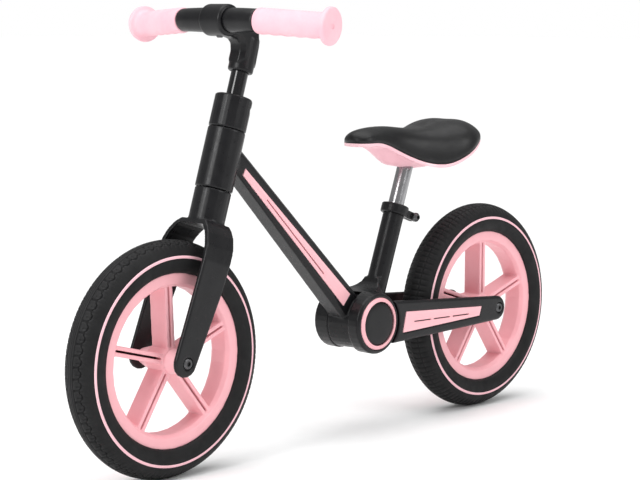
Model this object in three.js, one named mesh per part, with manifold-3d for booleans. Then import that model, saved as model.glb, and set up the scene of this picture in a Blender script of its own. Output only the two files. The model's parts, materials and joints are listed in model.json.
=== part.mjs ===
// A folding 12-inch balance bike: no pedals, a hub hinge in the middle of the frame, and height-adjustable
// bars and saddle. Units are millimetres, +X forward, +Y to the rider's left, +Z up. The origin is on the
// ground, midway between the two wheels.
import * as THREE from "three";
import { mergeVertices } from "three/addons/utils/BufferGeometryUtils.js";
import Module from "manifold-3d";

const wasm = await Module();
wasm.setup();

// ---- Driving dimensions ----

const GAP = 0.3;
const WHEELBASE = 614;
const TYRE_RADIUS = 150;
const TYRE_SECTION = 25;
const RIM_RADIUS = 108.2;
const RIM_LIP_RADIUS = 110.5;
const RIM_HALF_WIDTH = 17.5;
const RIM_INNER_RADIUS = 93;
const BEAD_HALF_WIDTH = 14.5;
const SPOKES = 5;
const WHEEL_HUB_RADIUS = 17.5;
const WHEEL_HUB_HALF_WIDTH = 17;

const AXLE_RADIUS = 5;
const AXLE_BORE = 3.3;
const BEARING_RADIUS = 13;
const BEARING_WIDTH = 8;

const HEAD_LEAN = THREE.MathUtils.degToRad(17.74);
const HEAD_BASE = new THREE.Vector3(222, 0, 356);
const HEAD_LENGTH = 78;
const HEAD_RADIUS = 24.3;
const FORK_OFFSET = 18.2;
const FORK_LENGTH = 222.1;
const BLADE_OUTER = 45;
const BLADE_INNER = 39;
const STEERER_RADIUS = 14;
const STEERER_TOP = 104;
const HEADSET_RADIUS = 19.6;
const HEADSET_SEAT = 8;
const COLLAR_TOP = 121.5;

const POST_RADIUS = 11.1;
const STEM_BASE = 153.8;
const STEM_RADIUS = 16.4;
const BAR_CENTRE = new THREE.Vector3(210, 0, 568.6);
const BAR_HALF_WIDTH = 172;
const BAR_STRAIGHT = 48;
const BAR_BEND = 24;
const BAR_SWEEP = 24;
const BAR_DROP = 6.6;
const BAR_TUBE_RADIUS = 11;
const BAR_CLAMP_RADIUS = 20.3;
const BAR_CLAMP_HALF_WIDTH = 19.5;
const SLEEVE_RADIUS = 15.5;
const GRIP_START = 67;
const GRIP_RADIUS = 16.2;
const FLANGE_RADIUS = 23.6;

const HUB = new THREE.Vector3(-43, 0, 158);
const HINGE_YAW = THREE.MathUtils.degToRad(10.2);
const HUB_FACE = 46;
const HUB_FAR_FACE = -38.2;
const HUB_SHELL_RADIUS = 42;
const HUB_FAR_RADIUS = 40.5;
const LOCK_CAP_RADIUS = 29.4;
const HUB_RING_INNER = 30.2;
const HUB_RING_OUTER = 35.8;
const BARREL_RADIUS = 38;
const BARREL_NEAR = 17.6;
const BARREL_FAR = -19.6;
const PIN_RADIUS = 10;
const FAR_COVER_RADIUS = 20;
const INSERT_DEPTH = 2.2;
const SLOT_WIDTH = 1.8;

const DOWN_TUBE_ANGLE = THREE.MathUtils.degToRad(45);
const DOWN_TUBE_HALF_WIDTH = 17;
const DOWN_TUBE_ROOT = { along: 20, half: 20.5 };
const DOWN_TUBE_TIP = { along: 338, half: 13 };

const ARM_INNER = 38.5;
const ARM_ROOT_RADIUS = 29.2;
const ARM_OUTER = 47;
const ARM_TIP_RADIUS = 17.8;

const SEAT_LEAN = THREE.MathUtils.degToRad(20.1);
const SEAT_BASE = new THREE.Vector3(-72.2, 0, 158);
const SEAT_TUBE_RADIUS = 14.8;
const SEAT_TUBE_BORE = 11.5;
const SEAT_TUBE_FOOT = 34;
const SEAT_TUBE_TOP = 163;
const SEAT_CLAMP_BOLT = -37;
const SEAT_POST_RADIUS = 11.1;
const SEAT_POST_TOP = 232;

const SADDLE_NOSE = -33;
const SADDLE_TAIL = -277;
const SADDLE_HALF_WIDTH = 67;

// ---- Materials ----

const FINISH = {
  frame: { color: 0x151516, roughness: 0.45, metalness: 0.2 },
  pink: { color: 0xf2a5ad, roughness: 0.5, metalness: 0 },
  pale: { color: 0xf7c9d0, roughness: 0.6, metalness: 0 },
  tyre: { color: 0x1b1b1c, roughness: 0.9, metalness: 0 },
  steel: { color: 0xb9babc, roughness: 0.3, metalness: 0.9 },
  dark: { color: 0x232325, roughness: 0.35, metalness: 0.6 },
  pad: { color: 0x101011, roughness: 0.6, metalness: 0 },
  bronze: { color: 0x9a7a4a, roughness: 0.5, metalness: 0.8 },
};

// ---- Solids ----

// The signed volume is negative when the faces point inwards.
function signedVolume(positions, index) {
  const a = new THREE.Vector3();
  const b = new THREE.Vector3();
  const c = new THREE.Vector3();
  let total = 0;
  for (let i = 0; i < index.length; i += 3) {
    a.fromArray(positions, 3 * index[i]);
    b.fromArray(positions, 3 * index[i + 1]);
    c.fromArray(positions, 3 * index[i + 2]);
    total += a.dot(b.cross(c));
  }
  return total;
}

// Merges the corners, drops the collapsed faces at poles, and turns the faces outwards.
function closed(geometry) {
  const bare = geometry.clone();
  bare.deleteAttribute("normal");
  bare.deleteAttribute("uv");
  const merged = mergeVertices(bare, 1e-3);
  const positions = merged.attributes.position.array;
  const source = merged.index.array;
  const index = [];
  for (let i = 0; i < source.length; i += 3) {
    const [p, q, r] = [source[i], source[i + 1], source[i + 2]];
    if (p !== q && q !== r && r !== p) index.push(p, q, r);
  }
  if (signedVolume(positions, index) < 0) index.reverse();
  const result = new THREE.BufferGeometry();
  result.setAttribute("position", new THREE.BufferAttribute(Float32Array.from(positions), 3));
  result.setIndex(new THREE.BufferAttribute(Uint32Array.from(index), 1));
  return result;
}

function solid(geometry) {
  const body = closed(geometry);
  const vertProperties = body.attributes.position.array;
  const triVerts = body.index.array;
  return new wasm.Manifold(new wasm.Mesh({ numProp: 3, vertProperties, triVerts }));
}

function geometryOf(body) {
  const mesh = body.getMesh();
  const geometry = new THREE.BufferGeometry();
  geometry.setAttribute("position", new THREE.BufferAttribute(mesh.vertProperties, 3));
  geometry.setIndex(new THREE.BufferAttribute(mesh.triVerts, 1));
  return geometry;
}

const joined = (first, ...rest) => rest.reduce((sum, g) => sum.add(solid(g)), solid(first));
const cut = (body, ...tools) => tools.reduce((sum, g) => sum.subtract(solid(g)), body);

// A solid of revolution about Y from closed pairs of radius and height.
function turned(profile, segments = 28) {
  const points = profile.map(([radius, y]) => new THREE.Vector2(radius, y));
  return new THREE.LatheGeometry(points, segments);
}

// A rod about Y between two heights.
function rod(radius, from, to, segments = 20) {
  return new THREE.CylinderGeometry(radius, radius, to - from, segments).translate(0, (from + to) / 2, 0);
}

// A rod whose rims are eased by a small chamfer.
function softRod(radius, from, to, ease, segments = 28) {
  return turned([
    [0, from],
    [radius - ease, from],
    [radius, from + ease],
    [radius, to - ease],
    [radius - ease, to],
    [0, to],
  ], segments);
}

// A ring about Y.
function ring(inner, outer, from, to, segments = 16) {
  return turned([
    [inner, from],
    [outer, from],
    [outer, to],
    [inner, to],
    [inner, from],
  ], segments);
}

// Turns a shape made about Y so that it stands on Z.
const upright = (geometry) => geometry.rotateX(Math.PI / 2);

// A plate drawn in the XZ plane, between two Y values, with eased edges.
function plate(shape, from, to, ease, curveSegments = 4) {
  const depth = Math.abs(to - from) - 2 * ease;
  const geometry = new THREE.ExtrudeGeometry(shape, {
    depth,
    bevelEnabled: ease > 0,
    bevelThickness: ease,
    bevelSize: ease,
    bevelOffset: -ease,
    bevelSegments: 1,
    curveSegments,
  });
  return geometry.rotateX(Math.PI / 2).translate(0, Math.max(from, to) - ease, 0);
}

function polygon(points) {
  return new THREE.Shape(points.map(([x, y]) => new THREE.Vector2(x, y)));
}

// A round bar along a curve.
function tube(curve, radius, steps, sides = 16) {
  const section = new THREE.Shape().absarc(0, 0, radius, 0, 2 * Math.PI);
  return new THREE.ExtrudeGeometry(section, { extrudePath: curve, steps, curveSegments: sides });
}

// The same shape on the other side of the bike.
function mirrored(geometry) {
  const body = closed(geometry);
  body.scale(1, -1, 1);
  return closed(body);
}

function piece(name, finish, geometry) {
  const body = closed(geometry);
  body.computeVertexNormals();
  const mesh = new THREE.Mesh(body, new THREE.MeshStandardMaterial(FINISH[finish]));
  mesh.name = name;
  return mesh;
}

function group(position, ...children) {
  const result = new THREE.Group();
  result.position.copy(position);
  result.add(...children);
  return result;
}

// ---- Wheels: each is made about its own axle, which lies along Y ----

function tyreGeometry() {
  const centre = TYRE_RADIUS - TYRE_SECTION;
  const start = Math.acos((RIM_LIP_RADIUS + 0.6 - centre) / TYRE_SECTION);
  const steps = 6;
  const profile = [[RIM_RADIUS + 0.4, -BEAD_HALF_WIDTH], [RIM_LIP_RADIUS + 0.6, -BEAD_HALF_WIDTH - 0.4]];
  for (let i = 0; i <= steps; i += 1) {
    const angle = start * (1 - (2 * i) / steps);
    profile.push([centre + TYRE_SECTION * Math.cos(angle), -TYRE_SECTION * Math.sin(angle)]);
  }
  profile.push([RIM_LIP_RADIUS + 0.6, BEAD_HALF_WIDTH + 0.4], [RIM_RADIUS + 0.4, BEAD_HALF_WIDTH]);
  profile.push(profile[0]);
  return turned(profile, 40);
}

function rimGeometry() {
  const lip = BEAD_HALF_WIDTH + 0.8;
  return turned([
    [RIM_INNER_RADIUS, -12],
    [RIM_INNER_RADIUS + 4, -RIM_HALF_WIDTH],
    [RIM_LIP_RADIUS, -RIM_HALF_WIDTH],
    [RIM_LIP_RADIUS, -lip],
    [RIM_RADIUS, -BEAD_HALF_WIDTH],
    [RIM_RADIUS, BEAD_HALF_WIDTH],
    [RIM_LIP_RADIUS, lip],
    [RIM_LIP_RADIUS, RIM_HALF_WIDTH],
    [RIM_INNER_RADIUS + 4, RIM_HALF_WIDTH],
    [RIM_INNER_RADIUS, 12],
    [RIM_INNER_RADIUS, -12],
  ], 36);
}

// One spoke points along +Z: a beam with a groove down each outer face.
function spokeGeometry() {
  const half = 6.5;
  const width = 14.5;
  const groove = { half: 1.4, depth: 11 };
  const section = polygon([
    [-half, -width],
    [-groove.half, -width],
    [-groove.half, groove.depth - width],
    [groove.half, groove.depth - width],
    [groove.half, -width],
    [half, -width],
    [half, width],
    [groove.half, width],
    [groove.half, width - groove.depth],
    [-groove.half, width - groove.depth],
    [-groove.half, width],
    [-half, width],
  ]);
  const from = WHEEL_HUB_RADIUS - 4;
  const depth = RIM_INNER_RADIUS + 2 - from;
  return new THREE.ExtrudeGeometry(section, { depth, bevelEnabled: false }).translate(0, 0, from);
}

function wheelGeometry(tilt) {
  const spokes = [];
  for (let i = 0; i < SPOKES; i += 1) {
    spokes.push(spokeGeometry().rotateY(tilt + (2 * Math.PI * i) / SPOKES));
  }
  const hub = softRod(WHEEL_HUB_RADIUS, -WHEEL_HUB_HALF_WIDTH, WHEEL_HUB_HALF_WIDTH, 2, 20);
  const seat = WHEEL_HUB_HALF_WIDTH - BEARING_WIDTH;
  const body = cut(
    joined(rimGeometry(), hub, ...spokes),
    rod(AXLE_RADIUS + 2.5, -seat - 1, seat + 1),
    rod(BEARING_RADIUS, seat, WHEEL_HUB_HALF_WIDTH + 1),
    rod(BEARING_RADIUS, -WHEEL_HUB_HALF_WIDTH - 1, -seat),
  );
  return geometryOf(body);
}

// A button-head bolt with a hex socket. Its head is on the +Y side of its seat.
function boltGeometry(shank, length, head, height) {
  const body = joined(rod(shank, -length, 0.5, 10), turned([
    [0, 0],
    [head, 0],
    [head, height * 0.5],
    [head - height * 0.4, height],
    [0, height],
  ], 16));
  return geometryOf(cut(body, rod(head * 0.42, height * 0.35, height + 1, 6)));
}

function wheelSet(name, x, tilt, inner, outer) {
  const parts = [
    piece(`${name}_tyre`, "tyre", tyreGeometry()),
    piece(`${name}_wheel`, "pink", wheelGeometry(tilt)),
    piece(`${name}_axle`, "steel", ring(AXLE_BORE, AXLE_RADIUS, GAP - inner, inner - GAP)),
  ];
  const face = WHEEL_HUB_HALF_WIDTH;
  const sink = 3.2;
  for (const [side, sign] of [["left", 1], ["right", -1]]) {
    const turn = sign > 0 ? 0 : Math.PI;
    const bearing = ring(AXLE_RADIUS + 0.2, BEARING_RADIUS - 0.2, face - BEARING_WIDTH + 0.2, face - 0.2);
    const spacer = turned([
      [AXLE_RADIUS + 0.3, face + 0.3],
      [BEARING_RADIUS + 2.8, face + 0.3],
      [BEARING_RADIUS + 2.8, face + 2],
      [BEARING_RADIUS - 3, inner - GAP],
      [AXLE_RADIUS + 0.3, inner - GAP],
      [AXLE_RADIUS + 0.3, face + 0.3],
    ], 24);
    const bolt = boltGeometry(AXLE_BORE - 0.3, outer - sink - 12, 7, 3.4).translate(0, outer - sink + GAP, 0);
    parts.push(
      piece(`${name}_bearing_${side}`, "steel", bearing.rotateX(turn)),
      piece(`${name}_spacer_${side}`, "pink", spacer.rotateX(turn)),
      piece(`${name}_axle_bolt_${side}`, "dark", bolt.rotateX(turn)),
    );
  }
  return group(new THREE.Vector3(x, 0, TYRE_RADIUS), ...parts);
}

// The holes that an axle bolt needs in a blade or an arm.
function boltHoles(outer, x, z) {
  const holes = [];
  for (const sign of [1, -1]) {
    const shank = rod(AXLE_BORE + 0.1, 20, outer + 2, 12);
    const seat = rod(8, outer - 3.2, outer + 2, 16);
    for (const hole of [shank, seat]) {
      if (sign < 0) hole.rotateX(Math.PI);
      holes.push(hole.translate(x, 0, z));
    }
  }
  return holes;
}

// ---- Steering: made in a frame whose Z is the steering axis and whose origin is the head tube's foot ----

function forkFrontOutline() {
  const foot = -245;
  const crown = -48;
  const shape = new THREE.Shape();
  shape.moveTo(-HEAD_RADIUS + 1.6, -42);
  shape.bezierCurveTo(-HEAD_RADIUS - 5, -47, -BLADE_OUTER, -61, -BLADE_OUTER, -93);
  shape.lineTo(-BLADE_OUTER, foot);
  shape.lineTo(-BLADE_INNER, foot);
  shape.lineTo(-BLADE_INNER, -94);
  shape.bezierCurveTo(-BLADE_INNER, -66, -HEAD_RADIUS - 3, crown - 6, -20, crown);
  shape.lineTo(20, crown);
  shape.bezierCurveTo(HEAD_RADIUS + 3, crown - 6, BLADE_INNER, -66, BLADE_INNER, -94);
  shape.lineTo(BLADE_INNER, foot);
  shape.lineTo(BLADE_OUTER, foot);
  shape.lineTo(BLADE_OUTER, -93);
  shape.bezierCurveTo(BLADE_OUTER, -61, HEAD_RADIUS + 5, -47, HEAD_RADIUS - 1.6, -42);
  return shape;
}

function forkSideOutline() {
  const tip = 17.8;
  const middle = FORK_OFFSET + 3.1;
  const shape = new THREE.Shape();
  shape.moveTo(-HEAD_RADIUS + 4, -38);
  shape.bezierCurveTo(-HEAD_RADIUS + 4, -58, -17, -70, -15.5, -94);
  shape.lineTo(-11.7, -131);
  shape.lineTo(middle - tip, -FORK_LENGTH);
  shape.absarc(middle, -FORK_LENGTH, tip, Math.PI, 0, false);
  shape.lineTo(31, -104);
  shape.bezierCurveTo(29, -70, HEAD_RADIUS + 5, -52, HEAD_RADIUS - 4, -38);
  return shape;
}

function forkGeometry() {
  const front = plate(forkFrontOutline(), -60, 60, 0).rotateZ(-Math.PI / 2);
  const side = plate(forkSideOutline(), -46.5, 46.5, 3);
  const blades = solid(front).intersect(solid(side));
  const sleeve = upright(softRod(HEAD_RADIUS - 0.8, -46, -GAP, 1));
  const steerer = upright(rod(STEERER_RADIUS, -10, STEERER_TOP));
  const body = blades.add(solid(sleeve)).add(solid(steerer));
  const bore = upright(rod(POST_RADIUS + GAP, -44, STEERER_TOP + 1));
  return geometryOf(cut(body, bore, ...boltHoles(BLADE_OUTER, FORK_OFFSET, -FORK_LENGTH)));
}

function topCollarGeometry() {
  const foot = HEAD_LENGTH + GAP;
  const body = solid(upright(softRod(HEAD_RADIUS, foot, COLLAR_TOP, 1.6)));
  const bolt = { x: -17, z: COLLAR_TOP - 13 };
  const slit = new THREE.BoxGeometry(20, 1.6, 60).translate(-HEAD_RADIUS + 2, 0, bolt.z);
  const slope = new THREE.BoxGeometry(60, 60, 30).translate(-30, 0, 15).rotateY(-0.42);
  return geometryOf(cut(
    body,
    upright(rod(POST_RADIUS + GAP, foot - 1, COLLAR_TOP + 1)),
    upright(rod(STEERER_RADIUS + GAP, foot - 1, STEERER_TOP + GAP)),
    slit,
    slope.translate(-POST_RADIUS, 0, COLLAR_TOP - 1),
    rod(2.3, -30, 30, 12).translate(bolt.x, 0, bolt.z),
    rod(4, 8, 30, 16).translate(bolt.x, 0, bolt.z),
  ));
}

function barPostGeometry() {
  const foot = 4;
  return upright(ring(8.6, POST_RADIUS, foot, STEM_BASE + 40, 20));
}

// ---- Stem and bars, in world coordinates ----

const ALONG_HEAD = new THREE.Vector3(-Math.sin(HEAD_LEAN), 0, Math.cos(HEAD_LEAN));

function onHead(height) {
  return HEAD_BASE.clone().addScaledVector(ALONG_HEAD, height);
}

// The pinch bolt enters the bar clamp from below.
function inBarBolt(geometry) {
  return upright(geometry).rotateY(Math.PI).translate(BAR_CENTRE.x, 0, BAR_CENTRE.z);
}

function stemOutline() {
  const low = onHead(STEM_BASE + 10);
  const shape = new THREE.Shape();
  shape.moveTo(low.x - 15.5, low.z - 5);
  shape.lineTo(low.x + 15.5, low.z + 5);
  shape.bezierCurveTo(low.x + 7, low.z + 26, low.x + 10, low.z + 33, low.x + 26, low.z + 36);
  shape.lineTo(BAR_CENTRE.x, BAR_CENTRE.z - 17);
  shape.lineTo(BAR_CENTRE.x, BAR_CENTRE.z + 14);
  shape.lineTo(low.x + 2, BAR_CENTRE.z + 12);
  shape.bezierCurveTo(low.x - 20, BAR_CENTRE.z + 10, low.x - 25, BAR_CENTRE.z - 4, low.x - 23, low.z + 22);
  return shape;
}

function stemGeometry() {
  const foot = onHead(STEM_BASE);
  const column = upright(softRod(STEM_RADIUS, 0, 46, 1.5)).rotateY(-HEAD_LEAN).translate(foot.x, 0, foot.z);
  const web = plate(stemOutline(), -14.5, 14.5, 6);
  const clamp = softRod(BAR_CLAMP_RADIUS, -BAR_CLAMP_HALF_WIDTH, BAR_CLAMP_HALF_WIDTH, 2.5);
  clamp.translate(BAR_CENTRE.x, 0, BAR_CENTRE.z);
  const post = upright(rod(POST_RADIUS + GAP, -1, 40 + GAP)).rotateY(-HEAD_LEAN).translate(foot.x, 0, foot.z);
  const bar = rod(BAR_TUBE_RADIUS + GAP, -40, 40).translate(BAR_CENTRE.x, 0, BAR_CENTRE.z);
  const shank = inBarBolt(rod(2.5, 6, 30, 12));
  const seat = inBarBolt(rod(5.2, BAR_CLAMP_RADIUS - 1.6, 40, 16));
  return geometryOf(cut(joined(column, web, clamp), post, bar, shank, seat));
}

// The bar runs straight through the stem, then each arm sweeps back and dips a little.
function barPoint(y) {
  const reach = Math.max(Math.abs(y) - BAR_STRAIGHT, 0);
  const share = reach < BAR_BEND ? (reach * reach) / (2 * BAR_BEND) : reach - BAR_BEND / 2;
  const ratio = share / (BAR_HALF_WIDTH - BAR_STRAIGHT - BAR_BEND / 2);
  return new THREE.Vector3(BAR_CENTRE.x - BAR_SWEEP * ratio, y, BAR_CENTRE.z - BAR_DROP * ratio);
}

// Carries a solid made about Y onto the curved line of the bar, with its sections square to that line.
function onBar(geometry) {
  const body = closed(geometry);
  const positions = body.attributes.position;
  const across = new THREE.Vector3(0, 1, 0);
  const turn = new THREE.Quaternion();
  for (let i = 0; i < positions.count; i += 1) {
    const y = positions.getY(i);
    const ahead = barPoint(y + 1).sub(barPoint(y - 1)).normalize();
    const offset = new THREE.Vector3(positions.getX(i), 0, positions.getZ(i));
    offset.applyQuaternion(turn.setFromUnitVectors(across, ahead)).add(barPoint(y));
    positions.setXYZ(i, offset.x, offset.y, offset.z);
  }
  return body;
}

// A rod about Y that can be bent: it has rows of corners only where the bar curves.
function bendable(radius, from, to) {
  const rows = [];
  for (let reach = 0; reach <= BAR_BEND; reach += BAR_BEND / 4) {
    rows.push(BAR_STRAIGHT + reach, -BAR_STRAIGHT - reach);
  }
  const inside = rows.filter((y) => y > from + 1 && y < to - 1).sort((a, b) => a - b);
  const stations = [from, ...inside, to].map((y) => [radius, y]);
  return turned([[0, from], ...stations, [0, to]], 16);
}

const handlebarGeometry = () => onBar(bendable(BAR_TUBE_RADIUS, 4 - BAR_HALF_WIDTH, BAR_HALF_WIDTH - 4));

// The moulded sleeve between the stem and the left grip.
function sleeveGeometry() {
  const from = BAR_CLAMP_HALF_WIDTH + GAP;
  const to = GRIP_START - GAP;
  const bore = bendable(BAR_TUBE_RADIUS + GAP, BAR_CLAMP_HALF_WIDTH - 4, GRIP_START + 9);
  return geometryOf(cut(solid(onBar(bendable(SLEEVE_RADIUS, from, to))), onBar(bore)));
}

// The left grip: a ribbed sleeve that ends in a round guard.
function gripGeometry() {
  const guard = BAR_HALF_WIDTH - 9;
  const profile = [[0, GRIP_START]];
  const ribs = 3;
  for (let i = 0; i <= 2 * ribs; i += 1) {
    profile.push([GRIP_RADIUS - (i % 2 ? 0.9 : 0), GRIP_START + ((guard - GRIP_START) * i) / (2 * ribs)]);
  }
  profile.push([FLANGE_RADIUS - 1.5, BAR_HALF_WIDTH - 7.5], [FLANGE_RADIUS, BAR_HALF_WIDTH - 6]);
  profile.push([FLANGE_RADIUS, BAR_HALF_WIDTH - 1.6], [FLANGE_RADIUS - 2, BAR_HALF_WIDTH]);
  profile.push([0, BAR_HALF_WIDTH]);
  const inner = bendable(BAR_TUBE_RADIUS + GAP, GRIP_START - 9, BAR_HALF_WIDTH - 4 + GAP);
  const vent = rod(1.6, BAR_HALF_WIDTH - 12, BAR_HALF_WIDTH + 4, 8);
  return geometryOf(cut(solid(onBar(turned(profile, 16))), onBar(inner), onBar(vent)));
}

// ---- Front frame: head tube, down tube and hinge barrel as one welded body ----

const inHead = (geometry) => geometry.rotateY(-HEAD_LEAN).translate(HEAD_BASE.x, HEAD_BASE.y, HEAD_BASE.z);
const inHinge = (geometry) => geometry.rotateZ(HINGE_YAW).translate(HUB.x, HUB.y, HUB.z);
const inDownTube = (geometry) => geometry.rotateY(-DOWN_TUBE_ANGLE).translate(HUB.x, HUB.y, HUB.z);

function taper(root, tip) {
  return polygon([
    [root.along, -root.half],
    [tip.along, -tip.half],
    [tip.along, tip.half],
    [root.along, root.half],
  ]);
}

// The insert's outline along the down tube: its lower edge is straight and its upper edge rises to the hub.
function insertOutline(spare) {
  return polygon([
    [47 - spare, -10 - spare],
    [314 + spare, -9.8 - spare],
    [317 + spare, spare - 1],
    [48 - spare, 9.6 + spare],
  ]);
}

// The space past each seam of the barrel, as far as the tube needs it clear, with a slope at its outer end.
function pastSeams() {
  const deep = 60;
  const wedge = (seam, sign) => inHinge(turned([
    [0, seam],
    [50, seam],
    [100, seam + 12 * sign],
    [100, deep * sign],
    [0, deep * sign],
  ], 32));
  return [wedge(BARREL_NEAR, 1), wedge(BARREL_FAR, -1)];
}

function frontFrameGeometry() {
  const headTube = inHead(upright(softRod(HEAD_RADIUS, GAP, HEAD_LENGTH, 0.8, 32)));
  const downTube = inDownTube(plate(taper(DOWN_TUBE_ROOT, DOWN_TUBE_TIP),
    -DOWN_TUBE_HALF_WIDTH, DOWN_TUBE_HALF_WIDTH, 5));
  const barrel = inHinge(rod(BARREL_RADIUS, BARREL_FAR, BARREL_NEAR, 32));
  const face = DOWN_TUBE_HALF_WIDTH;
  const recess = () => plate(insertOutline(GAP), face - INSERT_DEPTH, face + 1, 0);
  const seat = HEADSET_SEAT + 0.5;
  const tubes = cut(joined(headTube, downTube), ...pastSeams());
  return geometryOf(cut(
    tubes.add(solid(barrel)),
    inHead(upright(rod(STEERER_RADIUS + 1.5, -1, HEAD_LENGTH + 1))),
    inHead(upright(rod(HEADSET_RADIUS + 0.4, -1, seat))),
    inHead(upright(rod(HEADSET_RADIUS + 0.4, HEAD_LENGTH - seat, HEAD_LENGTH + 1))),
    inHinge(rod(PIN_RADIUS + 2.6, -60, 60)),
    inDownTube(recess()),
    inDownTube(mirrored(recess())),
  ));
}

function downTubeInsertGeometry() {
  const face = DOWN_TUBE_HALF_WIDTH;
  const body = solid(plate(insertOutline(0), face - 1.9, face + 0.6, 0.5));
  const line = { from: 109, to: 260, height: -4.2 };
  const middle = (line.from + line.to) / 2;
  const slot = new THREE.BoxGeometry(line.to - line.from, 8, SLOT_WIDTH).translate(middle, face, line.height);
  const trim = pastSeams()[0];
  trim.translate(-HUB.x, -HUB.y, -HUB.z).rotateY(DOWN_TUBE_ANGLE);
  return geometryOf(cut(body, slot, trim)).rotateY(-DOWN_TUBE_ANGLE).translate(HUB.x, HUB.y, HUB.z);
}

// ---- Rear frame: hub shell, arms and seat tube ----

const inHub = (geometry) => geometry.translate(HUB.x, 0, HUB.z);
const inSeat = (geometry) => geometry.rotateY(-SEAT_LEAN).translate(SEAT_BASE.x, SEAT_BASE.y, SEAT_BASE.z);

// The web that joins the two halves of the hub over the barrel, seen from the side.
function yokeSideOutline() {
  const shape = new THREE.Shape();
  shape.moveTo(HUB.x + 17, HUB.z + 14);
  shape.lineTo(HUB.x + 12, HUB.z + 41);
  shape.lineTo(HUB.x - 14, HUB.z + 42);
  shape.bezierCurveTo(HUB.x - 25, HUB.z + 43, HUB.x - 31, HUB.z + 46, HUB.x - 35, HUB.z + 56);
  shape.lineTo(HUB.x - 41, HUB.z + 56);
  shape.lineTo(HUB.x - 22, HUB.z + 34);
  shape.lineTo(HUB.x - 22, HUB.z - 8);
  return shape;
}

// The same web seen from the front: as wide as the hub below and no wider than the seat tube above.
function yokeFrontOutline() {
  const shape = new THREE.Shape();
  const [far, near] = [HUB_FAR_FACE + 4, HUB_FACE - 12];
  const neck = 12;
  shape.moveTo(far, HUB.z - 20);
  shape.lineTo(near, HUB.z - 20);
  shape.lineTo(near, HUB.z + 32);
  shape.bezierCurveTo(near, HUB.z + 42, neck + 3, HUB.z + 41, neck, HUB.z + 58);
  shape.lineTo(-neck, HUB.z + 58);
  shape.bezierCurveTo(-neck - 3, HUB.z + 41, far, HUB.z + 42, far, HUB.z + 32);
  return shape;
}

// Behind the web, a narrower heel carries the foot of the seat tube down between the hub's discs.
function heelOutline() {
  return polygon([
    [HUB.x - 20, HUB.z - 8],
    [HUB.x - 20, HUB.z + 40],
    [HUB.x - 44, HUB.z + 40],
    [HUB.x - 50, HUB.z + 30],
    [HUB.x - 46, HUB.z + 10],
    [HUB.x - 38, HUB.z - 8],
  ]);
}

function seatFrameGeometry() {
  const near = inHub(softRod(HUB_SHELL_RADIUS, 0, HUB_FACE, 3.4, 32));
  const far = inHub(softRod(HUB_FAR_RADIUS, HUB_FAR_FACE, 0, 2, 32));
  const front = plate(yokeFrontOutline(), 20, 140, 0, 5).rotateZ(-Math.PI / 2);
  const web = solid(plate(yokeSideOutline(), -42, 42, 0)).intersect(solid(front.rotateZ(Math.PI)));
  const heel = solid(plate(heelOutline(), -14, 14, 2));
  const tube = inSeat(upright(rod(SEAT_TUBE_RADIUS, 20, SEAT_TUBE_TOP, 24)));
  const clear = 0.5;
  const groove = { from: 24, to: 26, depth: 1.4 };
  const springRoom = { radius: 15, depth: 14 };
  return geometryOf(cut(
    joined(near, far, tube).add(web).add(heel),
    inHinge(rod(BARREL_RADIUS + 0.8, BARREL_FAR - clear, BARREL_NEAR + clear, 32)),
    inHinge(seamSector(BARREL_FAR - clear, BARREL_NEAR + clear)),
    inHinge(rod(PIN_RADIUS + GAP, -30, 30)),
    inSeat(upright(rod(SEAT_TUBE_BORE, SEAT_TUBE_FOOT, SEAT_TUBE_TOP + 1))),
    inHub(ring(HUB_SHELL_RADIUS - groove.depth, HUB_SHELL_RADIUS + 2, groove.from, groove.to, 32)),
    inHub(rod(LOCK_CAP_RADIUS + 0.8, HUB_FACE - 9, HUB_FACE + 1, 28)),
    inHub(ring(LOCK_CAP_RADIUS, HUB_RING_OUTER + 0.4, HUB_FACE - 3, HUB_FACE + 1, 28)),
    inHub(rod(springRoom.radius, HUB_FACE - springRoom.depth, HUB_FACE)),
  ));
}

// The part of the hub between its seams that the down tube sweeps through when the frame folds.
function seamSector(from, to) {
  const reach = 100;
  const clear = DOWN_TUBE_ROOT.half + 3.4;
  const along = new THREE.Vector2(Math.cos(DOWN_TUBE_ANGLE), Math.sin(DOWN_TUBE_ANGLE));
  const start = new THREE.Vector2(-along.y, along.x).multiplyScalar(clear);
  const end = start.clone().addScaledVector(along, reach);
  const shape = new THREE.Shape([start, end]);
  shape.lineTo(reach, reach);
  shape.lineTo(reach, -reach);
  shape.lineTo(-reach, -reach);
  shape.lineTo(-reach, 8);
  shape.lineTo(start.x, 8);
  return plate(shape, from, to, 0);
}

function armOutline(spare = 0) {
  const tip = new THREE.Vector2(3.4 - WHEELBASE / 2, TYRE_RADIUS);
  const shape = new THREE.Shape();
  shape.moveTo(HUB.x - 20, 186.5 + spare);
  shape.lineTo(tip.x, tip.y + ARM_TIP_RADIUS);
  shape.absarc(tip.x, tip.y, ARM_TIP_RADIUS, Math.PI / 2, 1.5 * Math.PI, false);
  shape.lineTo(HUB.x - 20, 126.5 - spare);
  return shape;
}

function armInsertOutline(spare) {
  return polygon([
    [-99 + spare, 168.2 + spare],
    [-264.5 - spare, 157 + spare],
    [-260 - spare, 144 - spare],
    [-92 + spare, 139.8 - spare],
  ]);
}

// An arm's plate with its bolt holes and the recess for its insert, before its root is shaped.
function armPlate() {
  return cut(
    solid(plate(armOutline(), ARM_INNER, ARM_OUTER, 2.5, 8)),
    plate(armInsertOutline(GAP), ARM_OUTER - INSERT_DEPTH, ARM_OUTER + 1, 0),
    ...boltHoles(ARM_OUTER, -WHEELBASE / 2, TYRE_RADIUS),
  );
}

// The left arm grows out of the hub's rim.
function leftArmGeometry() {
  const hub = inHub(rod(HUB_SHELL_RADIUS + GAP, 0, 60, 32));
  return geometryOf(cut(armPlate(), hub));
}

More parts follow.
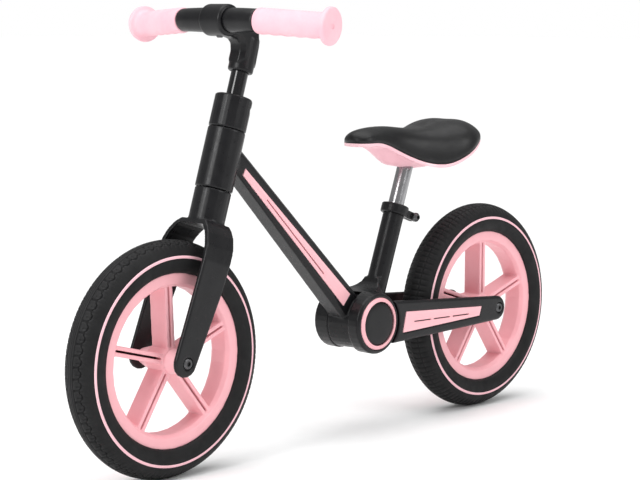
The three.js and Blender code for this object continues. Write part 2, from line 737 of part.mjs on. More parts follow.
// The right arm lies over the hub's far face, where a round cover hides its screws.
function rightArmGeometry() {
  const root = inHub(softRod(ARM_ROOT_RADIUS, ARM_INNER, ARM_OUTER, 2, 28));
  const seat = inHub(rod(FAR_COVER_RADIUS + GAP, ARM_OUTER - INSERT_DEPTH, ARM_OUTER + 1));
  return mirrored(geometryOf(cut(armPlate().add(solid(root)), seat)));
}

function armInsertGeometry() {
  const body = solid(plate(armInsertOutline(0), ARM_OUTER - 1.9, ARM_OUTER + 0.6, 0.5));
  const slots = [];
  const first = { x: -133, z: 152.2 };
  const [length, pitch, slope] = [36, 42, 0.03];
  for (let i = 0; i < 3; i += 1) {
    const slot = new THREE.BoxGeometry(length, 8, SLOT_WIDTH).rotateY(-slope);
    slots.push(slot.translate(first.x - pitch * i, ARM_OUTER, first.z - pitch * slope * i));
  }
  return geometryOf(cut(body, ...slots));
}

// ---- Hub hinge and its lock ----

function lockButtonGeometry() {
  const disc = turned([
    [0, HUB_FACE - 5],
    [LOCK_CAP_RADIUS - 0.4, HUB_FACE - 5],
    [LOCK_CAP_RADIUS, HUB_FACE - 4.4],
    [LOCK_CAP_RADIUS, HUB_FACE - 1.2],
    [LOCK_CAP_RADIUS - 1.4, HUB_FACE],
    [0, HUB_FACE + 0.8],
  ]);
  return geometryOf(joined(disc, rod(6, HUB_FACE - 8.4, HUB_FACE - 4, 24)));
}

class Helix extends THREE.Curve {
  constructor(radius, from, to, turns) {
    super();
    Object.assign(this, { radius, from, to, turns });
  }

  getPoint(t, target = new THREE.Vector3()) {
    const angle = 2 * Math.PI * this.turns * t;
    const y = this.from + (this.to - this.from) * t;
    return target.set(this.radius * Math.cos(angle), y, this.radius * Math.sin(angle));
  }
}

const lockSpringGeometry = () => tube(new Helix(10.5, HUB_FACE - 13, HUB_FACE - 11, 1.6), 0.7, 16, 2);

// ---- Seat ----

function seatClampGeometry() {
  const from = SEAT_TUBE_TOP - 14;
  const middle = (SEAT_TUBE_TOP + from) / 2;
  const body = solid(upright(softRod(19.4, from, SEAT_TUBE_TOP, 1.4)));
  const ears = new THREE.BoxGeometry(30, 15, 11).translate(-29, 0, middle);
  return geometryOf(cut(
    body.add(solid(ears)),
    upright(rod(SEAT_TUBE_RADIUS + GAP, from - 1, SEAT_TUBE_TOP + 1, 24)),
    new THREE.BoxGeometry(40, 2, 20).translate(-34, 0, middle),
    rod(2.8, -20, 20, 12).translate(SEAT_CLAMP_BOLT, 0, middle),
  ));
}

function seatPostGeometry() {
  return upright(ring(9.4, SEAT_POST_RADIUS, 84, SEAT_POST_TOP, 20));
}

// The saddle's plan: a slim nose that opens into a broad tail. It gives the half width at each x.
function saddleHalfWidth(x) {
  const share = (SADDLE_NOSE - x) / (SADDLE_NOSE - SADDLE_TAIL);
  const nose = 24;
  const spread = THREE.MathUtils.smoothstep(share, 0.26, 0.8);
  const tail = Math.max((share - 0.7) / 0.3, 0);
  const tip = Math.max((0.1 - share) / 0.1, 0);
  const round = Math.sqrt(Math.max(1 - tail ** 2.1, 0)) * Math.sqrt(Math.max(1 - tip ** 2.2, 0));
  return (nose + (SADDLE_HALF_WIDTH - nose) * spread) * round;
}

// The face where the pad meets its base: level at the nose, low along the thighs and rising at the tail.
function saddleSeam(x, side) {
  const low = 34 * THREE.MathUtils.smoothstep(-x, 60, 170);
  const lift = 34 * THREE.MathUtils.smoothstep(-x, 172, 262);
  return 402 + (lift - low) * (0.35 + 0.65 * side * side);
}

function saddleTop(x, side) {
  const dip = 6 * Math.exp(-(((x + 152) / 40) ** 2));
  const rise = 9 * THREE.MathUtils.smoothstep(-x, 172, 238);
  const tail = 12 * THREE.MathUtils.smoothstep(-x, 242, 286);
  return 424 - dip + rise - tail - 7 * side * side;
}

// The underside: a thin rim, and a bulge in the middle that takes the post.
function saddleUnderside(x, side) {
  const bulge = THREE.MathUtils.smoothstep(-x, 60, 108) * (1 - THREE.MathUtils.smoothstep(-x, 170, 240));
  return saddleSeam(x, side) - 6 - 23 * bulge * (1 - side * side) ** 2;
}

// Maps a unit ball into the saddle: its equator is the outline, and each half becomes one face.
function saddleForm(upper, lower, edge, fullness, flip) {
  const ball = closed(new THREE.SphereGeometry(1, 28, 12).rotateX(Math.PI / 2).scale(1, 1, flip));
  const positions = ball.attributes.position;
  const middle = (SADDLE_NOSE + SADDLE_TAIL) / 2;
  const half = (SADDLE_NOSE - SADDLE_TAIL) / 2;
  for (let i = 0; i < positions.count; i += 1) {
    const [u, v, w] = [positions.getX(i), positions.getY(i), positions.getZ(i)];
    const radius = Math.sqrt(Math.max(1 - w * w, 0));
    const spread = radius > 0 ? Math.pow(radius, 0.6) / radius : 0;
    const x = middle + half * u * spread;
    const limit = Math.sqrt(Math.max(1 - (u * spread) ** 2, 1e-9));
    const side = THREE.MathUtils.clamp((v * spread) / limit, -1, 1);
    const face = w > 0 ? upper(x, side) : lower(x, side);
    const rim = saddleSeam(x, side) + edge;
    const z = rim + (face - rim) * Math.pow(Math.abs(w), fullness);
    positions.setXYZ(i, x, side * saddleHalfWidth(x), z);
  }
  return ball;
}

const SEAM_GAP = GAP / 2;

function saddlePadGeometry() {
  return saddleForm(saddleTop, (x, side) => saddleSeam(x, side) + SEAM_GAP, SEAM_GAP, 0.68, 1);
}

function saddleBaseGeometry() {
  const roof = (x, side) => saddleSeam(x, side) - SEAM_GAP;
  const shell = saddleForm(roof, saddleUnderside, -SEAM_GAP, 0.15, -1);
  const boss = inSeat(upright(softRod(17, SEAT_POST_TOP - 11, SEAT_POST_TOP + 6, 3)));
  const bore = inSeat(upright(rod(SEAT_POST_RADIUS + GAP, 180, SEAT_POST_TOP + GAP)));
  return geometryOf(cut(joined(shell, boss), bore));
}

// ---- Assembly ----

const FRONT_AXLE = WHEELBASE / 2;
const REAR_AXLE = -WHEELBASE / 2;

function sided(name, finish, left) {
  return [piece(`${name}_left`, finish, left), piece(`${name}_right`, finish, mirrored(left))];
}

function steering() {
  const height = HEADSET_SEAT - 0.8;
  const bearing = (from) => upright(ring(STEERER_RADIUS + 0.4, HEADSET_RADIUS, from, from + height, 20));
  const collarBolt = boltGeometry(2, 16, 3.7, 3).translate(-17, 8 + GAP, COLLAR_TOP - 13);
  const result = group(
    HEAD_BASE,
    piece("fork", "frame", forkGeometry()),
    piece("headset_bearing_lower", "steel", bearing(0.6)),
    piece("headset_bearing_upper", "steel", bearing(HEAD_LENGTH - HEADSET_SEAT + 0.2)),
    piece("top_collar", "frame", topCollarGeometry()),
    piece("top_collar_bolt", "dark", collarBolt),
    piece("bar_post", "dark", barPostGeometry()),
  );
  result.rotation.y = -HEAD_LEAN;
  return result;
}

function bars() {
  const bolt = boltGeometry(2.2, 6.5, 4.4, 3).translate(0, BAR_CLAMP_RADIUS - 1.6 + GAP, 0);
  return [
    piece("stem", "frame", stemGeometry()),
    piece("handlebar", "dark", handlebarGeometry()),
    ...sided("bar_sleeve", "frame", sleeveGeometry()),
    ...sided("grip", "pale", gripGeometry()),
    piece("stem_bolt", "dark", inBarBolt(bolt)),
  ];
}

function hinge() {
  const result = group(
    HUB,
    piece("hub_pivot_pin", "steel", rod(PIN_RADIUS, -29, 29)),
    piece("hub_bush_left", "bronze", ring(PIN_RADIUS + GAP, PIN_RADIUS + 2.3, 3, BARREL_NEAR - GAP)),
    piece("hub_bush_right", "bronze", ring(PIN_RADIUS + GAP, PIN_RADIUS + 2.3, BARREL_FAR + GAP, -3)),
  );
  result.rotation.z = HINGE_YAW;
  return result;
}

function hubCovers() {
  return group(
    HUB,
    piece("lock_button", "frame", lockButtonGeometry()),
    piece("lock_spring", "steel", lockSpringGeometry()),
    piece("hub_ring", "pink", turned([
      [HUB_RING_INNER, HUB_FACE - 2.7],
      [HUB_RING_OUTER, HUB_FACE - 2.7],
      [HUB_RING_OUTER, HUB_FACE - 0.6],
      [HUB_RING_OUTER - 0.8, HUB_FACE],
      [HUB_RING_INNER + 0.8, HUB_FACE + 2.2],
      [HUB_RING_INNER, HUB_FACE + 1.6],
      [HUB_RING_INNER, HUB_FACE - 2.7],
    ])),
    piece("hub_far_cover", "frame", softRod(FAR_COVER_RADIUS, -ARM_OUTER - 1, 1.9 - ARM_OUTER, 0.8, 20)),
  );
}

function seat() {
  const place = SEAT_TUBE_TOP - 7;
  const clampBolt = boltGeometry(2.5, 18, 6.4, 6).translate(SEAT_CLAMP_BOLT, 7.5 + GAP, place);
  const result = group(
    SEAT_BASE,
    piece("seat_clamp", "frame", seatClampGeometry()),
    piece("seat_clamp_bolt", "dark", clampBolt),
    piece("seat_post", "steel", seatPostGeometry()),
  );
  result.rotation.y = -SEAT_LEAN;
  return result;
}

const bike = new THREE.Group();
bike.add(
  wheelSet("front", FRONT_AXLE, 0.05, BLADE_INNER, BLADE_OUTER),
  wheelSet("rear", REAR_AXLE, 0, ARM_INNER, ARM_OUTER),
  steering(),
  ...bars(),
  piece("front_frame", "frame", frontFrameGeometry()),
  ...sided("down_tube_insert", "pink", downTubeInsertGeometry()),
  hinge(),
  hubCovers(),
  piece("seat_frame", "frame", seatFrameGeometry()),
  piece("rear_arm_left", "frame", leftArmGeometry()),
  piece("rear_arm_right", "frame", rightArmGeometry()),
  ...sided("rear_arm_insert", "pink", armInsertGeometry()),
  seat(),
  piece("saddle_base", "pink", saddleBaseGeometry()),
  piece("saddle_pad", "pad", saddlePadGeometry()),
);

export default bike;
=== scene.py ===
"""The looks of a folding balance bike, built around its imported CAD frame. Lengths in the shape code are
millimetres; +X is forward, +Y the rider's left and +Z up."""
import json
import math

import bpy
import numpy as np
from mathutils import Matrix, Quaternion, Vector

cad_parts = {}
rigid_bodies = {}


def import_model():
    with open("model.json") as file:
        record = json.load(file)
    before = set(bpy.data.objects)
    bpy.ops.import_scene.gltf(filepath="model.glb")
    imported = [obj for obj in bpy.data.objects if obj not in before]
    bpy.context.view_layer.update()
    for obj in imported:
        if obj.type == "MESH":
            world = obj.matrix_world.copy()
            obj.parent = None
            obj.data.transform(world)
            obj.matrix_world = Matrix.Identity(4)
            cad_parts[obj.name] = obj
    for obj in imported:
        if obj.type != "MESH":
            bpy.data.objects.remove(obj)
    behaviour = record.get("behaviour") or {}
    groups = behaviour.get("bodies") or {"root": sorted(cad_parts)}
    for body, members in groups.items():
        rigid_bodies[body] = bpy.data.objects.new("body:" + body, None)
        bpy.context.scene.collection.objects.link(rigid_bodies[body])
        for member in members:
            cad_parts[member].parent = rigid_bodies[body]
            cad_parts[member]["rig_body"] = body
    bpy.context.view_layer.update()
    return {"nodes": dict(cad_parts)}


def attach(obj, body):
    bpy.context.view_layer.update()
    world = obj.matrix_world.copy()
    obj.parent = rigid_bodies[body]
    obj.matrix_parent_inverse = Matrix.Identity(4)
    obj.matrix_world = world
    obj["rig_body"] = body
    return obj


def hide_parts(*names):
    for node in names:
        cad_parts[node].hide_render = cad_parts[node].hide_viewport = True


MM = 0.001
SCENE = bpy.context.scene
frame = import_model()

# ---- Dimensions shared with the CAD ----

WHEEL_X = 307.0
AXLE_Z = 150.0
TYRE_CENTRE = 125.0
TYRE_SECTION = 25.0
RIM_LIP = 111.1
BEAD_RADIUS = 108.6
BEAD_HALF = 14.5
BAR_CENTRE = (210.0, 0.0, 568.6)
BAR_HALF = 172.0
BAR_STRAIGHT = 48.0
BAR_BEND = 24.0
BAR_SWEEP = 24.0
BAR_DROP = 6.6
GRIP_START = 67.0
GRIP_RADIUS = 16.2
FLANGE_RADIUS = 23.6
HEAD_LEAN = math.radians(17.74)
HEAD_BASE = (222.0, 0.0, 356.0)
BAR_POST_FOOT = 4.0
BAR_POST_TOP = 193.5
SEAT_LEAN = math.radians(20.1)
SEAT_BASE = (-72.2, 0.0, 158.0)
SEAT_POST_FOOT = 84.0
SEAT_POST_TOP = 231.5
POST_RADIUS = 11.1
HUB = (-43.0, 0.0, 158.0)
SADDLE_NOSE = -33.0
SADDLE_TAIL = -277.0
SADDLE_HALF_WIDTH = 67.0
SADDLE_NOSE_HALF_WIDTH = 24.0
SADDLE_SEAM_Z = 402.0
SADDLE_TOP_Z = 424.0
RING_INNER = 30.3
RING_OUTER = 35.7
RING_FOOT = 43.6
CAP_RADIUS = 29.3
CAP_FOOT = 38.2
CAP_BACK = 41.1
CAP_FACE = 46.8


def smoothstep(x, low, high):
    t = min(max((x - low) / (high - low), 0.0), 1.0)
    return t * t * (3 - 2 * t)


# ---- Materials ----

def node(tree, kind, **values):
    made = tree.nodes.new(kind)
    for key, value in values.items():
        setattr(made, key, value)
    return made


def noise(tree, coords, scale, detail=3.0, rough=0.55):
    made = node(tree, "ShaderNodeTexNoise")
    made.inputs["Scale"].default_value = scale
    made.inputs["Detail"].default_value = detail
    made.inputs["Roughness"].default_value = rough
    tree.links.new(coords, made.inputs["Vector"])
    return made.outputs["Fac"]


def ranged(tree, value, low, high, start=0.3, end=0.7):
    made = node(tree, "ShaderNodeMapRange")
    made.inputs["From Min"].default_value = start
    made.inputs["From Max"].default_value = end
    made.inputs["To Min"].default_value = low
    made.inputs["To Max"].default_value = high
    tree.links.new(value, made.inputs["Value"])
    return made.outputs["Result"]


def blended(tree, fac, first, second):
    made = node(tree, "ShaderNodeMix", data_type="RGBA")
    made.inputs["A"].default_value = (*first, 1)
    if isinstance(second, tuple):
        made.inputs["B"].default_value = (*second, 1)
    else:
        tree.links.new(second, made.inputs["B"])
    tree.links.new(fac, made.inputs["Factor"])
    return made.outputs["Result"]


def scaled(tree, coords, factors):
    made = node(tree, "ShaderNodeMapping")
    made.inputs["Scale"].default_value = factors
    tree.links.new(coords, made.inputs["Vector"])
    return made.outputs["Vector"]


def finish(name, colour, tint, rough, grain, depth, metallic=0.0, coat=0.0, gloss=0.5, stretch=None,
           wear_and_edge_highlight=None):
    """A surface with mottled colour and roughness, a fine grain in relief, and edges made lighter: partly
    wear, partly a painted highlight.
    """
    material = bpy.data.materials.new(name)
    material.use_nodes = True
    tree = material.node_tree
    shader = tree.nodes["Principled BSDF"]
    coords = node(tree, "ShaderNodeTexCoord").outputs["Object"]
    fine_coords = scaled(tree, coords, stretch) if stretch else coords
    colours = blended(tree, ranged(tree, noise(tree, coords, 38), 0, 1), colour, tint)
    # Lighter edges found by pointiness: partly wear, partly a painted highlight along the chamfers.
    if wear_and_edge_highlight:
        edge = node(tree, "ShaderNodeNewGeometry").outputs["Pointiness"]
        wear_highlight_mask = ranged(tree, edge, 0, 1, 0.52, 0.62)
        top = node(tree, "ShaderNodeMix", data_type="RGBA")
        top.inputs["B"].default_value = (*wear_and_edge_highlight, 1)
        tree.links.new(colours, top.inputs["A"])
        tree.links.new(wear_highlight_mask, top.inputs["Factor"])
        colours = top.outputs["Result"]
    tree.links.new(colours, shader.inputs["Base Color"])
    tree.links.new(ranged(tree, noise(tree, fine_coords, grain / 9), *rough), shader.inputs["Roughness"])
    bump = node(tree, "ShaderNodeBump")
    bump.inputs["Strength"].default_value = 0.6
    bump.inputs["Distance"].default_value = depth
    tree.links.new(noise(tree, fine_coords, grain, 4.0), bump.inputs["Height"])
    tree.links.new(bump.outputs["Normal"], shader.inputs["Normal"])
    shader.inputs["Metallic"].default_value = metallic
    shader.inputs["Specular IOR Level"].default_value = gloss
    shader.inputs["Coat Weight"].default_value = coat
    shader.inputs["Coat Roughness"].default_value = 0.12
    return material


# The last colour given to a finish lightens its edges: partly wear, partly a painted highlight.
POWDER = finish("satin_powder_coat", (0.006, 0.006, 0.007), (0.010, 0.010, 0.011), (0.26, 0.36), 1400,
                0.00009, gloss=0.26, wear_and_edge_highlight=(0.03, 0.03, 0.032))
BLACK_PLASTIC = finish("black_nylon", (0.005, 0.005, 0.006), (0.009, 0.009, 0.010), (0.28, 0.38), 1800,
                       0.00012, gloss=0.26, wear_and_edge_highlight=(0.028, 0.028, 0.03))
GLOSS_BLACK = finish("gloss_black_enamel", (0.004, 0.004, 0.005), (0.007, 0.007, 0.008), (0.08, 0.16), 500,
                     0.00003, coat=0.3, gloss=0.35)
PINK = finish("pink_nylon", (0.87, 0.42, 0.46), (0.9, 0.45, 0.49), (0.36, 0.48), 1500, 0.00008,
              wear_and_edge_highlight=(0.93, 0.52, 0.56))
PALE = finish("pale_pink_shell", (0.86, 0.47, 0.53), (0.9, 0.52, 0.58), (0.36, 0.5), 1500, 0.00008,
              wear_and_edge_highlight=(0.94, 0.64, 0.68))
GRIP = finish("pale_pink_rubber", (0.86, 0.47, 0.54), (0.9, 0.53, 0.59), (0.55, 0.7), 1100, 0.0002)
TYRE = finish("tyre_rubber", (0.006, 0.006, 0.0065), (0.011, 0.011, 0.0115), (0.5, 0.68), 900, 0.0003,
              gloss=0.2, wear_and_edge_highlight=(0.03, 0.03, 0.031))
STEEL = finish("drawn_steel", (0.3, 0.3, 0.31), (0.42, 0.42, 0.43), (0.16, 0.28), 500, 0.00004, metallic=1.0,
               stretch=(1, 1, 0.03))
DARK_STEEL = finish("blackened_steel", (0.03, 0.03, 0.032), (0.05, 0.05, 0.052), (0.28, 0.42), 900, 0.00006,
                    metallic=0.7, wear_and_edge_highlight=(0.12, 0.12, 0.125))
BRONZE = finish("sintered_bronze", (0.4, 0.27, 0.12), (0.5, 0.34, 0.16), (0.35, 0.5), 1600, 0.00008,
                metallic=1.0)
LEATHER = finish("soft_leatherette", (0.004, 0.004, 0.0045), (0.008, 0.008, 0.0085), (0.34, 0.46), 700,
                 0.0003, gloss=0.3, wear_and_edge_highlight=(0.016, 0.016, 0.017))
# Near-black red for the painted shade in the spoke grooves.
SLOT_SHADOW = finish("slot_shadow", (0.012, 0.005, 0.006), (0.02, 0.008, 0.009), (0.6, 0.8), 900, 0.0001, gloss=0.2)


# ---- Mesh helpers ----

def dress(obj, material, body, slot, *nodes):
    """Gives a piece its material, its body and the CAD nodes that it stands for. Its colour slot is not used.
    """
    obj.data.materials.clear()
    obj.data.materials.append(material)
    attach(obj, body)
    if nodes:
        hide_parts(*nodes)
    return obj


def mesh_object(name, points, faces):
    mesh = bpy.data.meshes.new(name)
    mesh.from_pydata((np.asarray(points, float) * MM).tolist(), [], faces)
    mesh.validate()
    mesh.shade_smooth()
    obj = bpy.data.objects.new(name, mesh)
    SCENE.collection.objects.link(obj)
    return obj


def skin(name, rows, wrap_rows=False, caps=True):
    """A surface over rows of points. Each row is a closed ring, and the rows close up too if wrap_rows."""
    rows = np.asarray(rows, float)
    count, ring = rows.shape[:2]
    faces = []
    for i in range(count if wrap_rows else count - 1):
        a, b = i * ring, ((i + 1) % count) * ring
        for j in range(ring):
            k = (j + 1) % ring
            faces.append((a + j, a + k, b + k, b + j))
    points = rows.reshape(-1, 3)
    if caps and not wrap_rows:
        faces.append(tuple(range(ring - 1, -1, -1)))
        faces.append(tuple((count - 1) * ring + j for j in range(ring)))
    return mesh_object(name, points, faces)


def outward(obj):
    """Turns the faces to point out of the solid."""
    mesh = obj.data
    volume = 0.0
    mesh.calc_loop_triangles()
    for t in mesh.loop_triangles:
        a, b, c = (mesh.vertices[i].co for i in t.vertices)
        volume += a.dot(b.cross(c))
    if volume < 0:
        mesh.flip_normals()
    return obj


def turned(name, profile, segments=96, hollow=False):
    """A solid of revolution about Y through the origin, from radius and height pairs. A hollow one is a ring
    whose profile closes on itself."""
    rows = []
    for radius, y in profile:
        rows.append([(radius * math.cos(t), y, radius * math.sin(t))
                     for t in np.linspace(0, 2 * math.pi, segments, endpoint=False)])
    return outward(skin(name, rows, wrap_rows=hollow))


def moved(obj, place, turn=None):
    matrix = Matrix.Translation(Vector(place) * MM)
    if turn is not None:
        matrix = matrix @ turn
    obj.data.transform(matrix)
    return obj


def cast(name, source, voxel, rounds, material, slot):
    """A CAD node's shape with its facets eased and its corners filleted like a casting's. Voxel is in
    millimetres."""
    obj = bpy.data.objects.new(name, frame["nodes"][source].data.copy())
    SCENE.collection.objects.link(obj)
    remesh = obj.modifiers.new("remesh", "REMESH")
    remesh.mode = "VOXEL"
    remesh.voxel_size = voxel * MM
    remesh.adaptivity = 0
    ease = obj.modifiers.new("ease", "SMOOTH")
    ease.factor = 0.5
    ease.iterations = rounds
    bpy.context.view_layer.update()
    mesh = bpy.data.meshes.new_from_object(obj.evaluated_get(bpy.context.evaluated_depsgraph_get()))
    obj.modifiers.clear()
    obj.data = mesh
    mesh.name = name
    mesh.shade_smooth()
    return dress(obj, material, frame["nodes"][source]["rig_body"], slot, source)


def kept(name, material, width=0.35):
    """A CAD node shown as it is, with its edges broken."""
    obj = frame["nodes"][name]
    obj.data.materials.clear()
    obj.data.materials.append(material)
    obj.data.shade_smooth()
    obj.data.set_sharp_from_angle(angle=math.radians(32))
    if width:
        edge = obj.modifiers.new("edge", "BEVEL")
        edge.width = width * MM
        edge.segments = 2
        edge.limit_method = "ANGLE"
        edge.angle_limit = math.radians(40)
        edge.harden_normals = True
    return obj


# ---- Tyres ----

def tyre_section(groove_columns):
    """Angles round the tyre's section from bead to bead, 0 at the crown, with more columns at the grooves."""
    limit = math.degrees(math.acos((RIM_LIP - TYRE_CENTRE) / TYRE_SECTION))
    plain = list(np.arange(-limit, limit + 0.1, limit / 22))
    return sorted(set(round(a, 3) for a in plain + groove_columns))


def tyre(name, x, pitches, samples, relief, columns, body, source):
    """A tyre whose relief(step, angle) gives the depth and the sideways shift of each point of its tread."""
    angles = tyre_section(columns)
    rows = []
    for i in range(pitches * samples):
        turn = 2 * math.pi * i / (pitches * samples)
        row = []
        for a in angles:
            depth, shift = relief(i % samples, a)
            phi = math.radians(a + shift)
            section = TYRE_SECTION - depth
            r = TYRE_CENTRE + section * math.cos(phi)
            row.append((x + r * math.sin(turn), section * math.sin(phi), AXLE_Z + r * math.cos(turn)))
        for r, y in ((BEAD_RADIUS, BEAD_HALF), (BEAD_RADIUS, -BEAD_HALF)):
            row.append((x + r * math.sin(turn), y, AXLE_Z + r * math.cos(turn)))
        rows.append(row)
    obj = outward(skin(name, rows, wrap_rows=True))
    return dress(obj, TYRE, body, "tyre_rubber", source)


ZIG = 33.5
BLOCK_STEPS = 12
SAW_STEPS = 7
FRONT_BLOCKS = 66
REAR_GROOVES = 110


def within(value, low, high):
    return low < value < high


def block_tread(step, angle):
    """Twin lines round the crown, a row of blocks with a zig-zag edge on each side, fine sipes outside it."""
    reach = abs(angle)
    wave = min(max(2.2 * math.sin(2 * math.pi * step / BLOCK_STEPS), -1), 1)
    shift = 3.0 * wave * math.copysign(1, angle) * (smoothstep(reach, 20, 30) - smoothstep(reach, 38, 48))
    depth = 0.0
    if within(reach, 2.9, 4.7) or within(reach, 10.2, 12.4):
        depth = 1.1
    if within(reach, ZIG - 1.5, ZIG + 1.5):
        depth = 1.5
    if step in (8, 9) and within(reach, 12, ZIG):
        depth = 1.6
    if step == 4 and within(reach, 22, ZIG):
        depth = 1.1
    if step in (3, 9) and within(reach, ZIG, 60):
        depth = max(depth, 0.7 * (1 - smoothstep(reach, 46, 58)))
    return depth, shift


def saw_tread(step, angle):
    """Close lateral grooves with a plain line round the crown."""
    reach = abs(angle)
    depth = 1.2 if step in (0, 1) and within(reach, 4, 58) else 0.0
    if within(reach, 26, 29):
        depth = 1.0
    return depth * (1 - smoothstep(reach, 44, 58)), 0.0


def both_sides(*angles):
    return [side * a for side in (-1, 1) for a in angles]


BLOCK_COLUMNS = both_sides(2.8, 3.1, 4.5, 4.8, 10.1, 10.4, 12.2, 12.5, 21.9, 22.2, ZIG - 2, ZIG - 1.4,
                           ZIG + 1.4, ZIG + 2)
SAW_COLUMNS = both_sides(3.6, 4.4, 25.6, 26.4, 28.6, 29.4)
tyre("front_tyre_rubber", WHEEL_X, FRONT_BLOCKS, BLOCK_STEPS, block_tread, BLOCK_COLUMNS, "front_wheel",
     "front_tyre")
tyre("rear_tyre_rubber", -WHEEL_X, REAR_GROOVES, SAW_STEPS, saw_tread, SAW_COLUMNS, "rear_wheel", "rear_tyre")


LINE_ANGLE = math.radians(78)
LINE_HALF_ANGLE = 0.07
LINE_RELIEF = 0.28


def tyre_line(name, x, side, body, steps=240, ring=10):
    """The coloured line moulded into the sidewall."""
    rows = []
    for i in range(steps):
        turn = 2 * math.pi * i / steps
        row = []
        for k in range(ring):
            around = 2 * math.pi * k / ring
            phi = LINE_ANGLE + LINE_HALF_ANGLE * math.cos(around)
            section = TYRE_SECTION + LINE_RELIEF * math.sin(around)
            r = TYRE_CENTRE + section * math.cos(phi)
            row.append((x + r * math.sin(turn), side * section * math.sin(phi), AXLE_Z + r * math.cos(turn)))
        rows.append(row)
    return dress(outward(skin(name, rows, wrap_rows=True)), PALE, body, "pale_pink_plastic")


for end, x in (("front", WHEEL_X), ("rear", -WHEEL_X)):
    for side, sign in (("left", 1), ("right", -1)):
        tyre_line(f"{end}_tyre_line_{side}", x, sign, f"{end}_wheel")

# ---- Cast and moulded parts that keep the CAD's shape ----

cast("front_wheel_moulding", "front_wheel", 1.0, 4, PINK, "pink_plastic")
cast("rear_wheel_moulding", "rear_wheel", 1.0, 4, PINK, "pink_plastic")
cast("front_frame_weldment", "front_frame", 1.1, 3, POWDER, "black_frame")
cast("seat_frame_casting", "seat_frame", 1.1, 3, POWDER, "black_frame")
cast("fork_casting", "fork", 1.1, 4, POWDER, "black_frame")
cast("rear_arm_left_casting", "rear_arm_left", 1.1, 4, POWDER, "black_frame")
cast("rear_arm_right_casting", "rear_arm_right", 1.1, 4, POWDER, "black_frame")
cast("stem_moulding", "stem", 1.0, 14, BLACK_PLASTIC, "black_plastic")
cast("top_collar_moulding", "top_collar", 0.8, 3, POWDER, "black_frame")
cast("seat_clamp_casting", "seat_clamp", 0.7, 5, POWDER, "black_frame")

SPOKES = 5
SPOKE_FACE = 14.5
GROOVE_DEPTH = 11.0
GROOVE_HALF = 1.3
GROOVE_FROM = 20.0
GROOVE_TO = 92.0
STRIP_HEIGHT = 3.0
STRIP_SUNK = 0.5
FRONT_WHEEL_TILT = 0.05


def strip(points, faces, corners):
    """Adds one six-sided strip to a list of points and faces."""
    first = len(points)
    points.extend(corners)
    faces.extend(tuple(first + i for i in f) for f in (
        (0, 1, 2, 3), (7, 6, 5, 4), (0, 4, 5, 1), (1, 5, 6, 2), (2, 6, 7, 3), (3, 7, 4, 0)))


def groove_shade_strips(name, x, tilt, body):
    """Dark strips on the floors of the grooves in a wheel's spokes: painted shade for the deep grooves."""
    points, faces = [], []
    deep = SPOKE_FACE - GROOVE_DEPTH
    for i in range(SPOKES):
        turn = Matrix.Rotation(tilt + 2 * math.pi * i / SPOKES, 3, "Y")
        for side in (-1, 1):
            ends = [(side * w, side * y, z) for z in (GROOVE_FROM, GROOVE_TO)
                    for w, y in ((-GROOVE_HALF, deep - STRIP_SUNK), (GROOVE_HALF, deep - STRIP_SUNK),
                                 (GROOVE_HALF, deep + STRIP_HEIGHT), (-GROOVE_HALF, deep + STRIP_HEIGHT))]
            strip(points, faces, [tuple(turn @ Vector(p) + Vector((x, 0, AXLE_Z))) for p in ends])
    return dress(outward(mesh_object(name, points, faces)), SLOT_SHADOW, body, "pink_plastic")


# Painted shade in the spoke grooves.
groove_shade_strips("front_spoke_groove_shade", WHEEL_X, FRONT_WHEEL_TILT, "front_wheel")
groove_shade_strips("rear_spoke_groove_shade", -WHEEL_X, 0.0, "rear_wheel")

# ---- Bar: grips and sleeves ----

def bar_point(y):
    """The middle of the bar at y: straight in the stem, then swept back and down through a short bend."""
    reach = max(abs(y) - BAR_STRAIGHT, 0.0)
    share = reach * reach / (2 * BAR_BEND) if reach < BAR_BEND else reach - BAR_BEND / 2
    ratio = share / (BAR_HALF - BAR_STRAIGHT - BAR_BEND / 2)
    return Vector((BAR_CENTRE[0] - BAR_SWEEP * ratio, y, BAR_CENTRE[2] - BAR_DROP * ratio))


def along_bar(name, stations, segments=72):
    """A solid round the bar's line. Each station is a place along it and a function that gives the radius at
    an angle."""
    rows = []
    for y, radius in stations:
        ahead = (bar_point(y + 1) - bar_point(y - 1)).normalized()
        turn = Vector((0, 1, 0)).rotation_difference(ahead)
        row = []
        for t in np.linspace(0, 2 * math.pi, segments, endpoint=False):
            r = radius(t)
            row.append(tuple(bar_point(y) + turn @ Vector((r * math.cos(t), 0, r * math.sin(t)))))
        rows.append(row)
    return outward(skin(name, rows))


def constant(radius):
    return lambda t: radius


def grip_radius(y, t):
    """Finger rests under the grip, low rings over the rest of it."""
    under = 0.5 + 0.5 * math.cos(t - math.radians(-70))
    wave = math.cos(2 * math.pi * (y - GRIP_START - 8) / 17.5)
    ribs = 0.35 * math.cos(2 * math.pi * (y - GRIP_START) / 4.4) * (1 - under)
    return GRIP_RADIUS + 0.45 * under * wave + 0.4 * ribs


def grip(side, sign):
    """A rubber grip with a round guard and a small vent in its end."""
    guard = BAR_HALF - 8.5
    stations = [(sign * (GRIP_START + 0.2), constant(13.2)), (sign * (GRIP_START + 0.5), constant(15.2))]
    for y in np.arange(GRIP_START + 1.6, guard - 2, 0.75):
        stations.append((sign * y, lambda t, y=y: grip_radius(y, t)))
    edge = [(17.2, -1.2), (18.6, 0.0), (20.6, 0.9), (22.3, 1.5), (23.3, 2.3), (FLANGE_RADIUS, 3.4),
            (FLANGE_RADIUS, 5.6), (23.2, 6.9), (22.2, 7.8), (20.4, 8.3), (12.0, 8.4), (4.2, 8.4), (3.6, 8.0),
            (3.4, 7.0), (2.2, 6.6), (1.6, 6.4), (0.2, 6.3)]
    stations += [(sign * (guard + dy), constant(r)) for r, dy in edge]
    obj = along_bar(f"grip_{side}_rubber", stations)
    return dress(obj, GRIP, "bars", "grip_rubber", f"grip_{side}")


